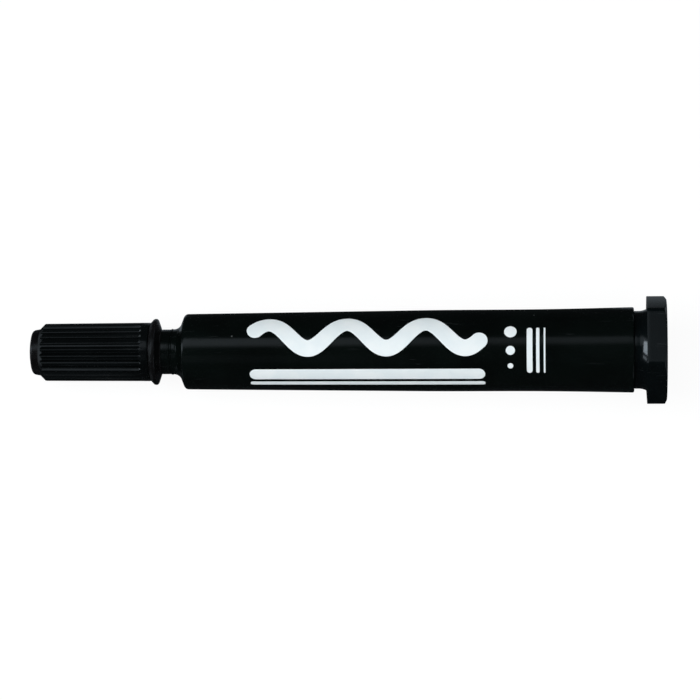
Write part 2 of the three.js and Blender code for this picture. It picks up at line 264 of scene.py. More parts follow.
# Moulded black plastic: a mottled colour, greasy patches and hairlines in its gloss, a skin of
# fine grain, and sparse specks of dust, each a small ball round a random point.
def mouldedPlastic(name, **changes):
    look = {**blackPlastic, **changes}
    material, tree = newMaterial(name)
    place = addNode(tree, "TexCoord").outputs["Object"]
    mottle = noiseAt(tree, place, look["mottleSize"], shift=(0.3, 0.1, 0.7))
    grease = noiseAt(tree, place, look["greaseSize"], stretch=2.0, detail=4.0, shift=(1.7, 0.4, 0.2))
    grain = noiseAt(tree, place, look["grainSize"], detail=2.0)
    waves = noiseAt(tree, place, look["waveSize"], stretch=1.6, detail=1.0, shift=(0.9, 2.3, 0.5))
    lines = noiseAt(tree, place, look["hairSize"], look["hairStretch"], detail=2.0, shift=(2.1, 1.3, 0.8))
    hair = stepped(tree, lines, *look["hairFrom"])
    cells = addNode(tree, "TexVoronoi", {"Vector": place, "Scale": 1 / look["dustSpacing"]})
    inBall = stepped(tree, cells.outputs["Distance"], *look["dustSize"])
    chosen = addNode(tree, "SeparateColor", {"Color": cells.outputs["Color"]}).outputs["Red"]
    dust = product(tree, inBall, stepped(tree, chosen, *look["dustFrom"]))

    dark, light = (tuple(times * channel for channel in look["colour"]) + (1.0,) for times in look["mottle"])
    plastic = blended(tree, stepped(tree, mottle, *noiseSpan), dark, light)
    marked = blended(tree, product(tree, hair, look["hairPale"]), plastic, look["hairColour"])
    dusted = blended(tree, dust, marked, look["dustColour"])

    glossy, dull = look["roughness"] - look["greaseRange"], look["roughness"] + look["greaseRange"]
    gloss = stepped(tree, grease, *look["greaseFrom"], glossy, dull)
    rough = total(tree, gloss, product(tree, hair, look["hairRough"]), product(tree, dust, look["dustRough"]))

    wavy = raised(tree, waves, look["waveHeight"])
    skin = raised(tree, grain, look["grainHeight"], wavy)
    cut = raised(tree, hair, -look["hairDepth"], skin)

    return shaded(material, tree, {
        "Base Color": dusted,
        "Roughness": rough,
        "IOR": look["ior"],
        "Normal": cut,
    })


# Barrel: a tapered tube with a steep shoulder and a neck, and four ribs in its bore.
barrel = {
    "sides": 192,
    "taper": 1.05,        # growth of the radius from the shoulder to the rear rim
    "frontRadius": 8.0,
    "wall": 1.15,
    "waistDepth": 0.19,
    "waistSetback": 17.7,        # of the waist's middle from the rear rim
    "waistReach": 28.0,        # either way from its middle
    "waistSteps": 24,
    "rimRounding": 0.35,
    "shoulderAngle": 68.0,        # degrees, of the slope to the axis
    "shoulderWall": 1.2,
    "shoulderRounding": 0.85,
    "shoulderFillet": 2.0,
    "neckLength": 1.74,
    "neckRadius": 4.8,
    "neckBore": 3.65,
    "neckDip": 0.03,        # fall of the neck behind the bead at its rim
    "beadHeight": 0.07,
    "beadLength": 0.4,
    "beadRise": 0.15,        # the length of its slope
    "beadRounding": 0.12,
    "innerRounding": 0.1,
    "ribCount": 4,
    "ribRadius": 6.5,        # of the circle that the ribs leave free
    "ribThickness": 1.0,
    "ribRearSetback": 9.2,
    "ribFrontSetback": 0.4,
    "ribRamp": 0.05,
    "ringSpacing": 1.5,
}
barrelRearX, barrelFrontX = spanOf("barrel")[:2]
shoulderSlope = math.radians(barrel["shoulderAngle"])
shoulderFootX = barrelFrontX + barrel["neckLength"]
shoulderTopX = shoulderFootX + (barrel["frontRadius"] - barrel["neckRadius"]) / math.tan(shoulderSlope)
barrelRearRadius = barrel["frontRadius"] + barrel["taper"]


# The radius grows evenly from the shoulder to the rear rim; this is the barrel without its waist.
def taperedRadiusAt(x):
    share = (x - shoulderTopX) / (barrelRearX - shoulderTopX)
    return barrel["frontRadius"] + barrel["taper"] * share


# The barrel's outer radius is less by a shallow cosine waist.
def barrelRadiusAt(x):
    fromMiddle = np.clip((x - barrelRearX + barrel["waistSetback"]) / barrel["waistReach"], -1, 1)
    return taperedRadiusAt(x) - barrel["waistDepth"] * (1 + np.cos(math.pi * fromMiddle)) / 2


def makeBarrel():
    innerFootX = shoulderFootX + barrel["shoulderWall"] / math.sin(shoulderSlope)
    boreFrontRadius = barrel["frontRadius"] - barrel["wall"]
    boreFrontX = innerFootX + (boreFrontRadius - barrel["neckRadius"]) / math.tan(shoulderSlope)
    neckBoreEndX = innerFootX + (barrel["neckBore"] - barrel["neckRadius"]) / math.tan(shoulderSlope)
    neckRadius = barrel["neckRadius"] - barrel["neckDip"]
    beadRadius = barrel["neckRadius"] + barrel["beadHeight"]
    beadRearX = barrelFrontX + barrel["beadLength"]
    ribFrontX = boreFrontX + barrel["ribFrontSetback"]
    ramp = barrel["ribRamp"]
    ribRearX = barrelRearX - barrel["ribRearSetback"]
    waistLength = barrel["waistSetback"] + barrel["waistReach"]
    waistX = barrelRearX - waistLength * np.linspace(0, 1, barrel["waistSteps"] + 1)[1:]
    boreAt = lambda x: taperedRadiusAt(x) - barrel["wall"]
    corners = [
        (barrelRearX, boreAt(barrelRearX), barrel["innerRounding"]),
        (barrelRearX, barrelRadiusAt(barrelRearX), barrel["rimRounding"]),
        *((x, barrelRadiusAt(x)) for x in waistX),
        (shoulderTopX, barrel["frontRadius"], barrel["shoulderRounding"]),
        (shoulderFootX, neckRadius, barrel["shoulderFillet"]),
        (beadRearX, neckRadius),
        (beadRearX - barrel["beadRise"], beadRadius, barrel["beadRounding"]),
        (barrelFrontX, beadRadius, barrel["beadRounding"]),
        (barrelFrontX, barrel["neckBore"], barrel["innerRounding"]),
        (neckBoreEndX, barrel["neckBore"]),
        (boreFrontX, boreFrontRadius),
        (ribFrontX, boreAt(ribFrontX)),
        (ribFrontX + ramp, boreAt(ribFrontX)),
        (ribRearX - ramp, boreAt(ribRearX)),
        (ribRearX, boreAt(ribRearX)),
    ]
    profile = withRings(roundedProfile(corners), barrel["ringSpacing"], closed=True)

    # Between its ends, the bore's radius is that of the ribs within half a thickness of a rib's middle.
    def ribs(x, radius, angle):
        step = 2 * math.pi / barrel["ribCount"]
        fromRib = np.abs((angle % step) - step / 2)
        inRib = fromRib * barrel["ribRadius"] < barrel["ribThickness"] / 2
        alongRib = (x > ribFrontX + ramp / 2) & (x < ribRearX - ramp / 2)
        inBore = radius < barrelRadiusAt(x) - barrel["wall"] / 2
        return np.where(inRib & alongRib & inBore, barrel["ribRadius"], radius)

    return surfaceObject("barrel_shell", [turnedSurface(profile, barrel["sides"], closed=True, shape=ribs)])


# Rear plug: a six-sided flange, a hollow flare, a band and the cup in the barrel with its beads and fins.
plug = {
    "flangeThickness": 4.2,
    "acrossFlats": 20.6,
    "cornerRounding": 1.0,
    "cornerFall": 0.5,        # of the rear face at the corners, from fallRadius outwards
    "fallRadius": 10.5,
    "edgeRounding": 0.14,
    "cornerSteps": 10,
    "flatSteps": 22,
    "flareLength": 1.69,
    "flareRadius": 3.5,
    "bandLength": 0.9,
    "bandInset": 0.88,
    "rearWall": 1.6,
    "cupWall": 1.2,
    "cupRadius": 7.71,
    "cupLeadIn": 0.4,
    "beadCount": 2,
    "beadHeight": 0.1,
    "beadLength": 0.8,
    "beadPitch": 2.4,
    "finThickness": 1.0,
    "gateRadius": 0.9,        # round dimple that the moulding leaves in the middle of the rear face
    "gateDepth": 0.12,
    "gateFloor": 0.8,        # radius of its floor as a share of the rim's
    "gateSurround": 1.5,        # radius of the round rows about it, as a share of the rim's
    "gateRounding": (0.1, 0.15),        # of its floor's edge and its rim
    "bandRounding": 0.1,
    "beadRounding": 0.3,
    "ringSpacing": 1.5,
}
plugRearX, plugFrontX, plugWidest = spanOf("rear_plug")


# Outline of a hexagon with rounded corners, flats up and down, moved inwards by an inset. A corner
# is an arc round a centre that stays put, and the points of a flat divide the way between two arcs.
def hexagonOutline(inset):
    toCentre = (plug["acrossFlats"] / 2 - plug["cornerRounding"]) / math.cos(math.pi / 6)
    middle = (np.arange(6) * math.pi / 3 + math.pi / 2)[:, None]
    spread = np.linspace(-math.pi / 6, math.pi / 6, plug["cornerSteps"] + 1)
    arcs = toCentre * aroundX(middle) + (plug["cornerRounding"] - inset) * aroundX(middle + spread)
    share = np.linspace(0, 1, plug["flatSteps"] + 1)[1:-1, None]
    starts, ends = arcs[:, -1:], np.roll(arcs, -1, axis=0)[:, :1]
    return np.concatenate([arcs, starts + (ends - starts) * share], axis=1).reshape(-1, 2)


# The plug's outside is one grid: each row is the hexagon moved inwards, a share of it, or a circle.
def makePlug():
    outline = hexagonOutline(0)
    angle = np.arctan2(outline[:, 0], outline[:, 1])
    around = aroundX(angle)

    def hexagonRow(x, inset):
        return np.column_stack([np.full(len(angle), x), hexagonOutline(inset)])

    def circleRow(x, radius):
        return np.column_stack([np.full(len(angle), x), around * radius])

    def mixedRow(x, inset, radius, share):
        return circleRow(x, radius) * (1 - share) + hexagonRow(x, inset) * share

    def withFall(row):
        fromAxis = np.hypot(row[:, 1], row[:, 2])
        outside = np.clip((fromAxis - plug["fallRadius"]) / (plugWidest - plug["fallRadius"]), 0, 1)
        return row - np.stack([plug["cornerFall"] * outside, 0 * outside, 0 * outside], axis=-1)

    edge = plug["edgeRounding"]
    quarter = np.linspace(0, math.pi / 2, 7)
    flangeFrontX = plugRearX - plug["flangeThickness"]
    gateFloorX = plugRearX - plug["gateDepth"]
    surround = plug["gateRadius"] * plug["gateSurround"]
    gate = [
        (gateFloorX, 0),
        (gateFloorX, plug["gateRadius"] * plug["gateFloor"], plug["gateRounding"][0]),
        (plugRearX, plug["gateRadius"], plug["gateRounding"][1]),
        (plugRearX, surround),
    ]
    rows = [circleRow(x, radius) for x, radius in roundedProfile(gate, steps=4)]
    # From round rows to hexagons, in finer steps near the edge, where the corners fall.
    shares = np.concatenate([np.linspace(0.1, 0.8, 8), np.linspace(0.84, 1, 6)])
    rows += [withFall(mixedRow(plugRearX, edge, surround, share)) for share in shares]
    rearEdge = [(plugRearX - edge * (1 - math.cos(t)), edge * (1 - math.sin(t))) for t in quarter[1:]]
    rows += [withFall(hexagonRow(x, inset)) for x, inset in rearEdge]
    rows += [hexagonRow(x, 0) for x in np.linspace(plugRearX - edge - 0.5, flangeFrontX + edge, 6)[:-1]]
    rows += [hexagonRow(flangeFrontX + edge * (1 - math.sin(t)), edge * (1 - math.cos(t))) for t in quarter]

    bandRadius = barrelRearRadius - plug["bandInset"]
    bandRearX = flangeFrontX - plug["flareLength"]
    bandFrontX = bandRearX - plug["bandLength"]
    sweep = math.asin(plug["flareLength"] / plug["flareRadius"])
    bend = np.linspace(sweep, 0, 13)
    flareX = bandRearX + plug["flareRadius"] * np.sin(bend)
    flareRadius = bandRadius + plug["flareRadius"] * (1 - np.cos(bend))
    rows += [mixedRow(flangeFrontX, edge, flareRadius[0], share) for share in (0.75, 0.5, 0.25)]
    rows += [circleRow(x, radius) for x, radius in zip(flareX, flareRadius)]

    cup, lead = plug["cupRadius"], plug["cupLeadIn"]
    bore = cup - plug["cupWall"]
    beads = []
    for i in range(plug["beadCount"]):
        middle = barrelRearX - (i + 1) * plug["beadPitch"]
        half = plug["beadLength"] / 2
        crest = (middle, cup + plug["beadHeight"], plug["beadRounding"])
        beads += [(middle + half, cup), crest, (middle - half, cup)]
    floorX = plugRearX - plug["rearWall"]
    inside = [(bandFrontX, bandRadius, plug["bandRounding"]), (bandFrontX, cup)] + beads + [
        (plugFrontX + lead, cup), (plugFrontX, cup - lead), (plugFrontX, bore), (floorX, bore), (floorX, 0),
    ]
    stem = roundedProfile([(bandRearX, bandRadius)] + inside, steps=5)[1:]
    stem = withRings(stem, plug["ringSpacing"])
    rows += [circleRow(x, radius) for x, radius in stem]
    shell = gridSurface(np.array(rows))

    # Crossed fins: a twelve-cornered cross, carried along X and closed by its middle at both ends.
    half, reach = plug["finThickness"] / 2, cup - plug["cupWall"] / 2
    quarterY = np.array([half, half, reach])
    quarterZ = np.array([reach, half, half])
    turns = np.arange(4) * math.pi / 2
    crossY = (quarterY * np.cos(turns)[:, None] + quarterZ * np.sin(turns)[:, None]).ravel()
    crossZ = (quarterZ * np.cos(turns)[:, None] - quarterY * np.sin(turns)[:, None]).ravel()
    cross = np.stack([0 * crossY, crossY, crossZ], axis=-1)
    rear, front = plugRearX - plug["rearWall"] / 2, plugFrontX
    levels = [(rear, 0), (rear, 1), (front, 1), (front, 0)]
    fins = gridSurface(np.array([cross * size + np.array([x, 0, 0]) for x, size in levels]))
    return surfaceObject("rear_plug_body", [shell, fins])


# Nib holder: shank in the neck, collar, spigot with its snap ridge, and the cone round the nib.
holder = {
    "sides": 160,
    "bore": 2.05,
    "shankRadius": 3.6,
    "collarLength": 1.9,
    "collarGap": 0.05,        # to the neck
    "spigotStep": 0.75,
    "spigotLength": 7.0,
    "ridgeSetback": 2.0,
    "ridgeLength": 1.2,
    "ridgeHeight": 0.08,
    "coneStep": 0.35,
    "coneTipWall": 0.9,
    "shankRounding": 0.3,
    "collarRounding": (0.1, 0.12),        # of its rear and front edges
    "spigotRounding": (0.15, 0.2),
    "ridgeRounding": 0.5,
    "coneRounding": (0.1, 0.25),
    "boreRounding": 0.1,
    "ringSpacing": 0.8,
}
holderRearX, holderFrontX, collarRadius = spanOf("nib_holder")
collarFrontX = barrelFrontX - holder["collarGap"] - holder["collarLength"]


def makeHolder():
    spigot = collarRadius - holder["spigotStep"]
    spigotFrontX = collarFrontX - holder["spigotLength"]
    ridgeX = collarFrontX - holder["ridgeSetback"]
    half = holder["ridgeLength"] / 2
    collarRearX = collarFrontX + holder["collarLength"]
    tipRadius = holder["bore"] + holder["coneTipWall"]
    corners = [
        (holderRearX, holder["bore"]),
        (holderRearX, holder["shankRadius"], holder["shankRounding"]),
        (collarRearX, holder["shankRadius"]),
        (collarRearX, collarRadius, holder["collarRounding"][0]),
        (collarFrontX, collarRadius, holder["collarRounding"][1]),
        (collarFrontX, spigot, holder["spigotRounding"][0]),
        (ridgeX + half, spigot, holder["ridgeRounding"]),
        (ridgeX, spigot + holder["ridgeHeight"], holder["ridgeRounding"]),
        (ridgeX - half, spigot, holder["ridgeRounding"]),
        (spigotFrontX, spigot, holder["spigotRounding"][1]),
        (spigotFrontX, spigot - holder["coneStep"], holder["coneRounding"][0]),
        (holderFrontX, tipRadius, holder["coneRounding"][1]),
        (holderFrontX, holder["bore"], holder["boreRounding"]),
    ]
    profile = withRings(roundedProfile(corners, steps=6), holder["ringSpacing"], closed=True)
    return surfaceObject("nib_holder_body", [turnedSurface(profile, holder["sides"], closed=True)])


# Nib: a fibre rod with a bullet tip. Its radius has small random grooves along the fibres.
nib = {
    "sides": 144,
    "tipLength": 3.4,
    "tipTaper": 1.15,        # powers that bend the ellipse: more makes a slimmer tip
    "tipBluntness": 0.8,        # less makes a blunter end
    "tipSteps": 26,
    "grooveDepth": 0.012,
    "grooveSeed": 7,
    "ringSpacing": 0.6,
}
nibRearX, nibTipX, nibRadius = spanOf("nib")


# The tip is a quarter of an ellipse that runs out into the rod.
def makeNib():
    bend = np.linspace(0, math.pi / 2, nib["tipSteps"])
    tipX = nibTipX + nib["tipLength"] * (1 - np.sin(bend)) ** nib["tipTaper"]
    tipRadius = nibRadius * np.cos(bend) ** nib["tipBluntness"]
    rod = np.array([(nibRearX, 0), (nibRearX, nibRadius)])
    profile = withRings(np.concatenate([rod, np.column_stack([tipX, tipRadius])]), nib["ringSpacing"])
    profile[-1] = (nibTipX, 0)
    random = np.random.default_rng(nib["grooveSeed"])
    grooves = random.random(nib["sides"])[None, :] * nib["grooveDepth"]

    def fibres(x, radius, angle):
        return np.where(radius > 0.05, radius - grooves * np.minimum(1, radius / nibRadius), radius)

    return surfaceObject("nib_rod", [turnedSurface(profile, nib["sides"], shape=fibres)])


# Inner cap: a closed tube with a crowned end and a bell-shaped mouth flange.
cap = {
    "sides": 192,
    "bore": 4.12,
    "radius": 4.97,
    "endWall": 1.35,
    "leadIn": 0.3,
    "leadInRounding": 0.2,
    "mouthRounding": 0.08,
    "bottomRounding": 0.8,
    "lipInset": 0.1,
    "lipLength": 0.15,
    "lipFillet": 0.5,
    "bellLength": 2.35,
    "bellRadius": 7.02,        # of the sharp corners that the crest's roundings cut
    "bellCrest": 1.0,        # from the mouth to the crest
    "bellCrestLength": 0.62,
    "bellEdgeRounding": 0.3,
    "bellFrontRounding": 0.5,
    "bellFrontRadius": 6.22,
    "bellRearRounding": 0.1,        # where the bell meets the sleeve
    "domeReach": 2.3,
    "domeDraft": 0.3,
    "domeCrown": 0.64,
    "domeRounding": 0.8,
    "crownSteps": 12,
    "ringSpacing": 0.9,
}
capMouthX, capFrontX = spanOf("inner_cap")[:2]


def makeCap():
    bellFrontX = capMouthX - cap["bellLength"]
    crestX = capMouthX - cap["bellCrest"]
    crest = cap["bellRadius"]
    lipRadius = collarRadius - cap["lipInset"]
    sleeveFrontX = capFrontX + cap["domeReach"]
    domeRadius = cap["radius"] - cap["domeDraft"]
    corners = [
        (capFrontX + cap["endWall"], 0),
        (capFrontX + cap["endWall"], cap["bore"], cap["bottomRounding"]),
        (capMouthX - cap["leadIn"], cap["bore"], cap["leadInRounding"]),
        (capMouthX, cap["bore"] + cap["leadIn"], cap["mouthRounding"]),
        (capMouthX, lipRadius, cap["mouthRounding"]),
        (capMouthX - cap["lipLength"], lipRadius, cap["lipFillet"]),
        (crestX, crest, cap["bellEdgeRounding"]),
        (crestX - cap["bellCrestLength"], crest, cap["bellFrontRounding"]),
        (bellFrontX, cap["bellFrontRadius"], cap["bellRearRounding"]),
        (bellFrontX, cap["radius"]),
        (sleeveFrontX, cap["radius"]),
        (capFrontX + cap["domeCrown"], domeRadius, cap["domeRounding"]),
    ]
    share = np.linspace(1, 0, cap["crownSteps"])[1:]
    crown = np.column_stack([capFrontX + cap["domeCrown"] * share**2, domeRadius * share])
    profile = np.concatenate([roundedProfile(corners + [tuple(crown[0])])[:-1], crown])
    profile = withRings(profile, cap["ringSpacing"])
    return surfaceObject("inner_cap_shell", [turnedSurface(profile, cap["sides"])])


# Grip sleeve: ribs with round grooves between them, from a chamfer in front to a smooth collar behind.
sleeve = {
    "ribs": 27,
    "ribTurn": -0.25,        # of a crest from +Z towards +Y, in rib spacings
    "sidesPerRib": 20,
    "grooveDepth": 0.5,
    "landShare": 0.2,        # of a rib spacing that is crest, between round grooves
    "bore": 5.0,
    "radius": 6.08,        # over the crests at the front
    "rimWall": 0.08,
    "chamfer": 1.0,
    "mouthRounding": 0.35,
    "collar": 1.5,
    "runout": 0.55,        # of the grooves, to the collar
    "runoutSteps": 10,
    "ribSteps": 13,
    "chamferSteps": 13,
    "chamferGap": 0.1,        # between the ribs' first ring and the chamfer's last
}
sleeveRearX, sleeveFrontX, sleeveMouthRadius = spanOf("cap_grip_sleeve")


def makeSleeve():
    slope = (sleeveMouthRadius - sleeve["radius"]) / (sleeveRearX - sleeveFrontX)
    runoutEndX = sleeveRearX - sleeve["collar"]
    runoutStartX = runoutEndX - sleeve["runout"]
    chamferRearX = sleeveFrontX + sleeve["chamfer"]
    rimRadius = sleeve["bore"] + sleeve["rimWall"]
    crestAt = lambda x: sleeve["radius"] + slope * (x - sleeveFrontX)
    outside = np.concatenate([
        np.linspace(runoutEndX, runoutStartX, sleeve["runoutSteps"] + 1),
        np.linspace(runoutStartX, chamferRearX + sleeve["chamferGap"], sleeve["ribSteps"] + 1)[1:],
    ])
    chamferX = np.linspace(chamferRearX, sleeveFrontX, sleeve["chamferSteps"] + 1)
    chamferRadius = np.linspace(crestAt(chamferRearX), rimRadius, sleeve["chamferSteps"] + 1)
    rear = roundedProfile([
        (sleeveRearX, sleeve["bore"]),
        (sleeveRearX, sleeveMouthRadius, sleeve["mouthRounding"]),
        (runoutEndX, crestAt(runoutEndX)),
    ])[:-1]
    profile = np.concatenate([
        rear,
        np.column_stack([outside, crestAt(outside)]),
        np.column_stack([chamferX, chamferRadius]),
        np.array([(sleeveFrontX, sleeve["bore"])]),
    ])

    # A groove's depth is 1 - (way from its middle / half its width)^2, and its floor rises evenly to
    # the collar.
    def gripRibs(x, radius, angle):
        fromHollow = np.abs((angle * sleeve["ribs"] / (2 * math.pi) - sleeve["ribTurn"]) % 1 - 0.5)
        hollow = np.clip(1 - (fromHollow * 2 / (1 - sleeve["landShare"])) ** 2, 0, 1)
        rise = np.clip((x - runoutStartX) / sleeve["runout"], 0, 1)
        return np.minimum(radius, crestAt(x) - sleeve["grooveDepth"] * (hollow - rise))

    sides = sleeve["ribs"] * sleeve["sidesPerRib"]
    return surfaceObject("cap_grip_ribs", [turnedSurface(profile, sides, closed=True, shape=gripRibs)])


# Print on the barrel: a generic sample of line widths. A stroke is a flat section carried along a
# path on the barrel, narrowing to a point over its round ends.
sample = {
    "ink": 0.02,        # over the barrel's surface
    "sink": 0.03,        # below it, so that the stroke has no open edge
    "facing": -16.0,        # degrees from +Z towards -Y, the middle of the printed side
    "waveStartX": -87.4,
    "waveEndX": -37.9,
    "waveWidth": 3.5,
    "waveHeight": 5.6,        # of the middle line, from crest to hollow
    "waves": 3,
    "waveTurn": 23.0,        # degrees round the barrel from the facing line
    "bars": [(-35.5, 2.6), (-53.0, 1.1)],        # turn in degrees and width in millimetres
    "dots": [(27.0, 2.6), (0.0, 1.9), (-22.0, 1.2)],
    "dotsX": -32.6,
    "rings": [(-28.6, 1.2), (-26.9, 0.7), (-25.5, 0.35)],        # place along X and width
    "ringTurns": (33.0, -33.0),
    "edgeSquareness": 0.7,        # power of the section's cosine; less makes a squarer edge
    "edgeSteepness": 3,        # how soon the section reaches its full thickness
    "endSteepness": 4,        # the same along the stroke
}


# A stroke along a line of x and turn, turn in millimetres round the barrel. The half width is that
# of a round end, sqrt(r^2 - distance^2), up to a radius from each end, and the section is a thin lens.
def strokeSurface(x, turn, width, sides=24):
    path = np.column_stack(np.broadcast_arrays(x, turn))
    step = np.gradient(path, axis=0)
    length = np.concatenate([[0], np.cumsum(np.linalg.norm(np.diff(path, axis=0), axis=1))])
    across = np.column_stack([-step[:, 1], step[:, 0]]) / np.linalg.norm(step, axis=1)[:, None]
    radius = width / 2
    fromEnd = np.minimum(length, length[-1] - length)
    half = np.sqrt(np.clip(radius**2 - np.clip(radius - fromEnd, 0, None) ** 2, 0, None))
    section = np.linspace(0, 2 * math.pi, sides, endpoint=False)[None, :]
    offset = np.sign(np.cos(section)) * np.abs(np.cos(section)) ** sample["edgeSquareness"]
    thickness = np.where(np.sin(section) > 0, sample["ink"], -sample["sink"])
    bulge = np.minimum(1, np.abs(np.sin(section)) * sample["edgeSteepness"])
    height = thickness * bulge * np.minimum(1, half / radius * sample["endSteepness"])[:, None]
    x = path[:, :1] + across[:, :1] * half[:, None] * offset
    turn = path[:, 1:] + across[:, 1:] * half[:, None] * offset
    surface = barrelRadiusAt(x)
    angle = turn / surface + math.radians(sample["facing"])
    reach = surface + height
    return gridSurface(np.stack([x, reach * np.sin(angle), reach * np.cos(angle)], axis=-1))


# Shares from 0 to 1 that crowd near both ends, where a stroke is round.
def crowdedShares(count):
    return (1 - np.cos(np.linspace(0, math.pi, count))) / 2


def makePrint():
    atRadius = lambda x, degrees: math.radians(degrees) * barrelRadiusAt(x)
    middleX = (sample["waveStartX"] + sample["waveEndX"]) / 2
    share = crowdedShares(240)
    waveX = sample["waveStartX"] + (sample["waveEndX"] - sample["waveStartX"]) * share
    swing = np.sin(2 * math.pi * sample["waves"] * share) * sample["waveHeight"] / 2
    waveLine = atRadius(middleX, sample["waveTurn"]) + swing
    strokes = [strokeSurface(waveX, waveLine, sample["waveWidth"])]
    for turn, width in sample["bars"]:
        strokes.append(strokeSurface(waveX, atRadius(middleX, turn), width))
    for turn, width in sample["dots"]:
        x = sample["dotsX"] + (crowdedShares(40) - 0.5) * width
        strokes.append(strokeSurface(x, atRadius(sample["dotsX"], turn), width))
    for x, width in sample["rings"]:
        first, last = (atRadius(x, turn) for turn in sample["ringTurns"])
        strokes.append(strokeSurface(x, first + (last - first) * crowdedShares(80), width))
    return surfaceObject("line_sample_print", strokes, sharpAngle=60)


barrelGloss = mouldedPlastic("barrel_gloss_plastic", roughness=0.16, greaseRange=0.03)
plugSatin = mouldedPlastic("plug_satin_plastic", roughness=0.18, colour=(0.0011, 0.0019, 0.0021))
holderSatin = mouldedPlastic("holder_satin_plastic", roughness=0.2)
capSatin = mouldedPlastic("cap_satin_plastic", roughness=0.3, colour=(0.0036, 0.0035, 0.0037))
gripSatin = mouldedPlastic("grip_satin_plastic", roughness=0.19, colour=(0.0018, 0.0025, 0.0027))


# Bonded or loose fibre: pale and dark threads along X, soaked with ink, with a soft rough surface.
fibre = {
    "threadStretch": 30.0,
    "threadFrom": (0.35, 0.68),
    "blotFrom": (0.35, 0.6),
    "blotShare": 0.6,        # of the dark colour in the blots
    "roughness": (0.95, 0.7),        # outside and inside the blots
}


def inkedFibre(name, dark, light, threadSize, threadHeight, blotSize):
    material, tree = newMaterial(name)
    place = addNode(tree, "TexCoord").outputs["Object"]
    threads = noiseAt(tree, place, threadSize, stretch=fibre["threadStretch"], detail=4.0)
    blots = noiseAt(tree, place, blotSize, shift=(0.4, 1.9, 0.6))
    mixed = blended(tree, stepped(tree, threads, *fibre["threadFrom"]), dark, light)
    inBlot = stepped(tree, blots, *fibre["blotFrom"], 0.0, fibre["blotShare"])
    return shaded(material, tree, {
        "Base Color": blended(tree, inBlot, mixed, dark),
        "Roughness": stepped(tree, blots, *noiseSpan, *fibre["roughness"]),
        "Normal": raised(tree, threads, threadHeight),
    })


nibFibre = inkedFibre(
    "nib_inked_fibre", dark=(0.004, 0.004, 0.006, 1.0), light=(0.022, 0.021, 0.03, 1.0),
    threadSize=0.00018, threadHeight=0.00002, blotSize=0.0015,
)
reservoirFibre = inkedFibre(
    "reservoir_inked_fibre", dark=(0.006, 0.006, 0.011, 1.0), light=(0.05, 0.05, 0.075, 1.0),
    threadSize=0.0004, threadHeight=0.00005, blotSize=0.006,
)


# Milky film: a pale sheet with long creases and ink shining through where the fibre touches it.
film = {
    "pale": (0.5, 0.52, 0.54, 1.0),
    "wet": (0.1, 0.1, 0.13, 1.0),
    "wetSize": 0.008,
    "wetFrom": (0.4, 0.62),
    "roughness": (0.22, 0.4),
    "creaseSize": 0.0015,
    "creaseStretch": 12.0,
    "creaseHeight": 0.00008,
}


def milkyFilm():
    material, tree = newMaterial("reservoir_milky_film")
    place = addNode(tree, "TexCoord").outputs["Object"]
    creases = noiseAt(tree, place, film["creaseSize"], stretch=film["creaseStretch"])
    wetting = noiseAt(tree, place, film["wetSize"], detail=4.0, shift=(0.2, 0.8, 1.4))
    return shaded(material, tree, {
        "Base Color": blended(tree, stepped(tree, wetting, *film["wetFrom"]), film["pale"], film["wet"]),
        "Roughness": stepped(tree, wetting, *noiseSpan, *film["roughness"]),
        "Normal": raised(tree, creases, film["creaseHeight"]),
    })


# Printed ink: white with a faint unevenness, and pinholes where it has worn off the plastic.
ink = {
    "white": ((0.80, 0.86, 0.88, 1.0), (0.86, 0.90, 0.91, 1.0)),
    "cloudSize": 0.004,
    "cloudFrom": (0.35, 0.7),
    "bare": (0.1, 0.11, 0.11, 1.0),
    "pinholeSize": 0.00035,
    "pinholeFrom": (0.76, 0.8),
    "pinholeDepth": 0.000006,
    "roughness": (0.38, 0.5),
    "ior": 1.45,
}


def printedInk():
    material, tree = newMaterial("print_white_ink")
    place = addNode(tree, "TexCoord").outputs["Object"]
    cloud = noiseAt(tree, place, ink["cloudSize"], detail=4.0)
    fine = noiseAt(tree, place, ink["pinholeSize"], shift=(0.6, 0.6, 1.1))
    white = blended(tree, stepped(tree, cloud, *ink["cloudFrom"]), *ink["white"])
    return shaded(material, tree, {
        "Base Color": blended(tree, stepped(tree, fine, *ink["pinholeFrom"]), white, ink["bare"]),
        "Roughness": stepped(tree, cloud, *noiseSpan, *ink["roughness"]),
        "IOR": ink["ior"],
        "Normal": raised(tree, fine, ink["pinholeDepth"]),
    })


plugPiece = makePlug()
finishPiece(makeBarrel(), "pen", barrelGloss, "barrel")
finishPiece(plugPiece, "pen", plugSatin, "rear_plug")
finishPiece(makeHolder(), "pen", holderSatin, "nib_holder")
finishPiece(makeNib(), "pen", nibFibre, "nib")
finishPiece(makeCap(), "cap", capSatin, "inner_cap")
finishPiece(makeSleeve(), "cap", gripSatin, "cap_grip_sleeve")
finishPiece(makePrint(), "pen", printedInk())
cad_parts["ink_reservoir"].material_slots[0].material = reservoirFibre
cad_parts["reservoir_film"].material_slots[0].material = milkyFilm()
print("pieces finished")


# Table: it touches the lowest flat of the flange and the lowest line of the barrel's front shoulder.
# The camera sees it as white, with the marker's shadow, and lamps light it as white card.
table = {
    "half": 1.6,        # metres
    "flangeContactX": -3.7,
    "shoulderContactX": -101.2,
    "shoulderDepth": 8.0,
    "glow": 0.92,        # what the camera sees without lamps
    "shadowPaint": (0.1, 0.1, 0.1, 1.0),        # what lamps add, which keeps the shadow
    "paint": (0.7, 0.7, 0.7, 1.0),
}


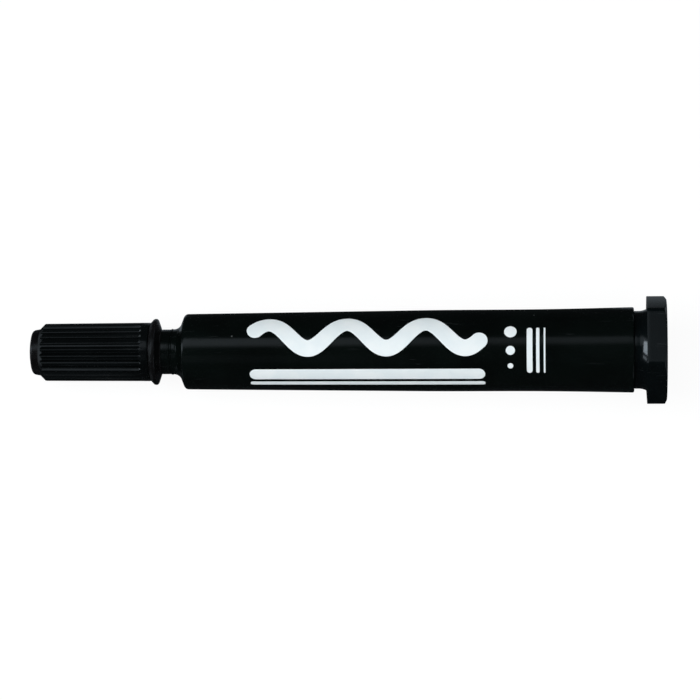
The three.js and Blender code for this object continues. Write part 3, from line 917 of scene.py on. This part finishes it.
# A flat grid at the table's slope, lifted by a distance in metres.
def tableGrid(name, lift):
    depth = plug["acrossFlats"] / 2
    slope = (depth - table["shoulderDepth"]) / (table["flangeContactX"] - table["shoulderContactX"])
    line = np.linspace(-table["half"], table["half"], 9)
    x, y = np.meshgrid(line, line, indexing="ij")
    z = lift - depth * mm - slope * (x - table["flangeContactX"] * mm)
    ids = np.arange(x.size).reshape(x.shape)
    faces = np.stack([ids[:-1, :-1], ids[1:, :-1], ids[1:, 1:], ids[:-1, 1:]], axis=-1).reshape(-1, 4)
    mesh = bpy.data.meshes.new(name)
    mesh.from_pydata(np.stack([x, y, z], axis=-1).reshape(-1, 3).tolist(), [], faces.tolist())
    return placed(name, mesh)


# The rays that are shown the white background: straight from the camera, off gloss or through glass.
def backgroundRays(tree):
    rays = addNode(tree, "LightPath").outputs
    kinds = (rays["Is Camera Ray"], rays["Is Glossy Ray"], rays["Is Transmission Ray"])
    return calculated(tree, "MAXIMUM", *kinds)


def makeTable():
    made = tableGrid("table_top", 0.0)
    material, tree = newMaterial("table_white")
    side = addNode(tree, "NewGeometry").outputs["Backfacing"]
    paint = addNode(tree, "BsdfDiffuse", {"Color": table["paint"]}).outputs[0]
    glow = addNode(tree, "Emission", {"Strength": table["glow"]}).outputs[0]
    shadowed = addNode(tree, "BsdfDiffuse", {"Color": table["shadowPaint"]}).outputs[0]
    shown = addNode(tree, "AddShader", {0: glow, 1: shadowed}).outputs[0]
    clear = addNode(tree, "BsdfTransparent").outputs[0]
    fromAbove = addNode(tree, "MixShader", {0: backgroundRays(tree), 1: paint, 2: shown}).outputs[0]
    fromBelow = addNode(tree, "MixShader", {0: side, 1: fromAbove, 2: clear}).outputs[0]
    addNode(tree, "OutputMaterial", {"Surface": fromBelow})
    made.data.materials.append(material)


# Studio: a white world and four lamps.
studio = {
    "middle": Vector((-0.067, 0.0, 0.0)),
    "ambient": 0.03,        # what the world adds to the lamps' light
    "lampTint": (0.95, 0.985, 1.0),
    "windowTint": (0.78, 0.9, 1.0),
}


def makeWorld():
    world = bpy.data.worlds.new("white_studio")
    bpy.context.scene.world = world
    world.use_nodes = True
    tree = world.node_tree
    tree.nodes.clear()
    white = addNode(tree, "Background", {"Strength": 1.0, "Color": (1.0, 1.0, 1.0, 1.0)}).outputs[0]
    ambient = addNode(tree, "Background", {"Strength": studio["ambient"]}).outputs[0]
    both = addNode(tree, "MixShader", {0: backgroundRays(tree), 1: ambient, 2: white}).outputs[0]
    addNode(tree, "OutputWorld", {"Surface": both})


# Dark cards with a softbox between them, which only gloss sees. They stand round the marker as
# photographers put them round black gloss. A direction's turn is its angle round X from straight up
# towards +Y, its lean is how far it points towards +X, its side towards +Y and its height up.
cards = {
    "distance": 40.0,        # metres
    "tint": (0.78, 0.9, 1.0, 1.0),
    "dark": 0.015,        # radiance of the cards
    "boxLean": (-0.15, -0.016),        # what the cap and the barrel's rear end mirror
    "box": (0.46, 0.2),        # radiance of the softbox at these two leans
    "boxBottom": (-0.5, 4.0),        # degrees of turn there
    "boxTop": (24.5, 19.5),
    "boxSoftness": (7.0, 2.0),        # degrees either way, of its bottom and its top
    "boxReach": ((-0.85, -0.6), (0.8, 0.6)),        # leans where it begins and ends
    "boxByCap": 1.25,        # times brighter further left than the barrel mirrors
    "boxByCapLean": (-0.128, -0.14),
    "frontBox": 0.055,
    "frontBoxTurn": (-50.0, -28.0),
    "frontBoxSoftness": 4.0,
    "frontBoxLean": (-0.11, -0.124),
}
# Past the cap's end, low down and then high up, which the rib hollows' ends mirror, and past the rear
# end, where the lower step of height counts twice.
cardGlows = [
    {"glow": 0.22, "lean": [(-0.84, -0.92)],
     "side": [(-0.1, 0.02), (0.36, 0.24)], "height": [(-0.36, -0.08), (0.34, 0.2)]},
    {"glow": 2.3, "lean": [(-0.7, -0.82)],
     "side": [(-0.12, -0.02), (0.28, 0.16)], "height": [(0.04, 0.16), (0.52, 0.4)]},
    {"glow": 0.6, "lean": [(0.55, 0.8)], "height": [(-0.36, -0.08), (-0.36, -0.08), (0.34, 0.2)]},
]


# The sum of glows. Each is its radiance times smooth steps of the measures that it names.
def glowSum(tree, glows, measures):
    parts = []
    for glow in glows:
        steps = [stepped(tree, measures[name], *step) for name in measures for step in glow.get(name, [])]
        parts.append(product(tree, *steps, glow["glow"]))
    return total(tree, *parts)


# Gives a card its glow and hides it from all but glossy rays.
def finishCard(card, material, tree, strength):
    glow = addNode(tree, "Emission", {"Color": cards["tint"], "Strength": strength}).outputs[0]
    addNode(tree, "OutputMaterial", {"Surface": glow})
    card.data.materials.append(material)
    for ray in ("camera", "diffuse", "transmission", "shadow"):
        setattr(card, "visible_" + ray, False)


# The cards are one sphere, and their glow depends on the direction from its middle.
def makeCards():
    share = np.linspace(0, 1, 33)
    arc = np.stack([np.cos(share * math.pi), np.sin(share * math.pi)], axis=-1)
    arc[0, 1] = arc[-1, 1] = 0
    sphere = turnedSurface(arc * cards["distance"] / mm, 64)
    card = surfaceObject("dark_cards", [sphere])
    material, tree = newMaterial("dark_cards_glow")
    place = addNode(tree, "TexCoord").outputs["Object"]
    direction = addNode(tree, "VectorMath", {0: place}, operation="NORMALIZE").outputs["Vector"]
    lean, side, height = addNode(tree, "SeparateXYZ", {"Vector": direction}).outputs
    turn = calculated(tree, "ARCTAN2", side, height)

    def alongBox(ends):
        inputs = {"Value": lean, "To Min": ends[0], "To Max": ends[1]}
        inputs["From Min"], inputs["From Max"] = cards["boxLean"]
        return addNode(tree, "MapRange", inputs).outputs["Result"]

    def pastTurn(edge, softness):
        fromEdge = calculated(tree, "SUBTRACT", turn, edge)
        return stepped(tree, fromEdge, -math.radians(softness), math.radians(softness))

    bottom = alongBox(np.radians(cards["boxBottom"]).tolist())
    top = alongBox(np.radians(cards["boxTop"]).tolist())
    overBottom, overTop = (pastTurn(*edge) for edge in zip((bottom, top), cards["boxSoftness"]))
    inReach = product(tree, *(stepped(tree, lean, *step) for step in cards["boxReach"]))
    byCap = stepped(tree, lean, *cards["boxByCapLean"], 1.0, cards["boxByCap"])
    underTop = calculated(tree, "SUBTRACT", 1.0, overTop)
    box = product(tree, overBottom, underTop, inReach, alongBox(cards["box"]), byCap)

    frontTurns = np.radians(cards["frontBoxTurn"]).tolist()
    frontEdges = (pastTurn(edge, cards["frontBoxSoftness"]) for edge in frontTurns)
    frontGlow = stepped(tree, lean, *cards["frontBoxLean"], 0.0, cards["frontBox"])
    frontBox = product(tree, calculated(tree, "SUBTRACT", *frontEdges), frontGlow)
    glows = glowSum(tree, cardGlows, {"lean": lean, "side": side, "height": height})
    finishCard(card, material, tree, total(tree, box, frontBox, glows, cards["dark"]))


# The card on the table is dark beside the barrel and paler by the cap, the neck and the plug and past
# the rear end. The glows go by x, y, the distance beside the axis and that away from the cap's end.
floorCard = {
    "lift": 0.00005,        # over the table
    "dark": 0.018,        # radiance beside the barrel
    "capEnd": Vector((-0.135, 0.0, 0.0)),
}
floorGlows = [
    {"glow": 0.45, "x": [(-0.112, -0.125)], "beside": [(0.024, 0.016)], "away": [(0.012, 0.035)]},
    {"glow": 0.2, "x": [(-0.103, -0.106), (-0.114, -0.11)], "y": [(0.002, 0.008), (0.03, 0.018)]},
    {"glow": 0.24, "x": [(-0.014, -0.006)], "y": [(0.012, 0.018), (0.0255, 0.0208)]},
    {"glow": 0.35, "x": [(0.012, 0.05)]},
]


def makeFloorCard():
    card = tableGrid("floor_card", floorCard["lift"])
    material, tree = newMaterial("floor_card_glow")
    place = addNode(tree, "TexCoord").outputs["Object"]
    x, y = addNode(tree, "SeparateXYZ", {"Vector": place}).outputs[:2]
    beside = addNode(tree, "Math", {0: y}, operation="ABSOLUTE").outputs["Value"]
    flat = addNode(tree, "CombineXYZ", {"X": x, "Y": y}).outputs["Vector"]
    fromEnd = {0: flat, 1: floorCard["capEnd"]}
    away = addNode(tree, "VectorMath", fromEnd, operation="DISTANCE").outputs["Value"]
    glows = glowSum(tree, floorGlows, {"x": x, "y": y, "beside": beside, "away": away})
    finishCard(card, material, tree, total(tree, glows, floorCard["dark"]))


# A lamp that faces the marker from a direction given by two tilts from straight up, in degrees. It is
# as large as the angles it fills, and its power is pi * area * radiance.
def makeLamp(name, tilts, angles, radiance, mirroredBy=None):
    alongX, alongY = (math.tan(math.radians(tilt)) for tilt in tilts)
    toLamp = Vector((alongX, alongY, 1.0)).normalized()
    lamp = bpy.data.lights.new(name, "AREA")
    lamp.shape = "RECTANGLE"
    lamp.size, lamp.size_y = (2 * math.tan(math.radians(angle / 2)) for angle in angles)
    lamp.energy = math.pi * lamp.size * lamp.size_y * radiance
    lamp.color = studio["windowTint"] if mirroredBy else studio["lampTint"]
    made = placed(name, lamp)
    across = Vector((0.0, 1.0, 0.0)).cross(toLamp).normalized()
    up = toLamp.cross(across)
    turned = Matrix((across, up, toLamp)).transposed().to_4x4()
    made.matrix_world = Matrix.Translation(studio["middle"] + toLamp) @ turned
    made.visible_camera = False
    made.visible_glossy = mirroredBy is not None
    if mirroredBy:
        receivers = bpy.data.collections.new(name + "_receivers")
        receivers.objects.link(mirroredBy)
        made.light_linking.receiver_collection = receivers


makeTable()
makeWorld()
makeCards()
makeFloorCard()
makeLamp("left_key", tilts=(-40.0, -5.0), angles=(42.0, 42.0), radiance=3.6)
makeLamp("even_fill", tilts=(12.0, -16.0), angles=(72.0, 72.0), radiance=1.5)
makeLamp("flare_window", tilts=(-44.7, -9.0), angles=(34.6, 31.0), radiance=6.0, mirroredBy=plugPiece)
makeLamp("flare_window_sill", tilts=(-43.5, -42.5), angles=(28.0, 8.0), radiance=2.4, mirroredBy=plugPiece)
print("table, cards and lamps placed")


# Camera: the photograph's angle, from almost above and a little in front, with a long lens.
view = {
    "towards": Vector((0.076, -0.2749, 0.9585)),        # from the marker to the camera
    "distance": 0.67,
    "lens": 162.75,
    "sensor": 36.0,
    "aimX": -0.066735,        # on the marker's axis
    "aimUp": 0.000223,        # above it in the picture
    "roll": 0.25,        # degrees that the marker's rear end is turned up
}


def makeCamera():
    towards = view["towards"].normalized()
    along = Vector((1.0, 0.0, 0.0))
    along = (along - towards * along.dot(towards)).normalized()
    above = towards.cross(along)
    roll = math.radians(view["roll"])
    right = along * math.cos(roll) - above * math.sin(roll)
    up = above * math.cos(roll) + along * math.sin(roll)
    camera = bpy.data.cameras.new("photo_camera")
    camera.lens = view["lens"]
    camera.sensor_width = view["sensor"]
    camera.clip_start = 0.01
    camera.clip_end = 20.0
    made = placed("photo_camera", camera)
    place = Vector((view["aimX"], 0.0, 0.0)) + up * view["aimUp"] + towards * view["distance"]
    made.matrix_world = Matrix.Translation(place) @ Matrix((right, up, towards)).transposed().to_4x4()
    bpy.context.scene.camera = made


makeCamera()
bpy.context.scene.view_settings.view_transform = "Standard"
print("camera placed")
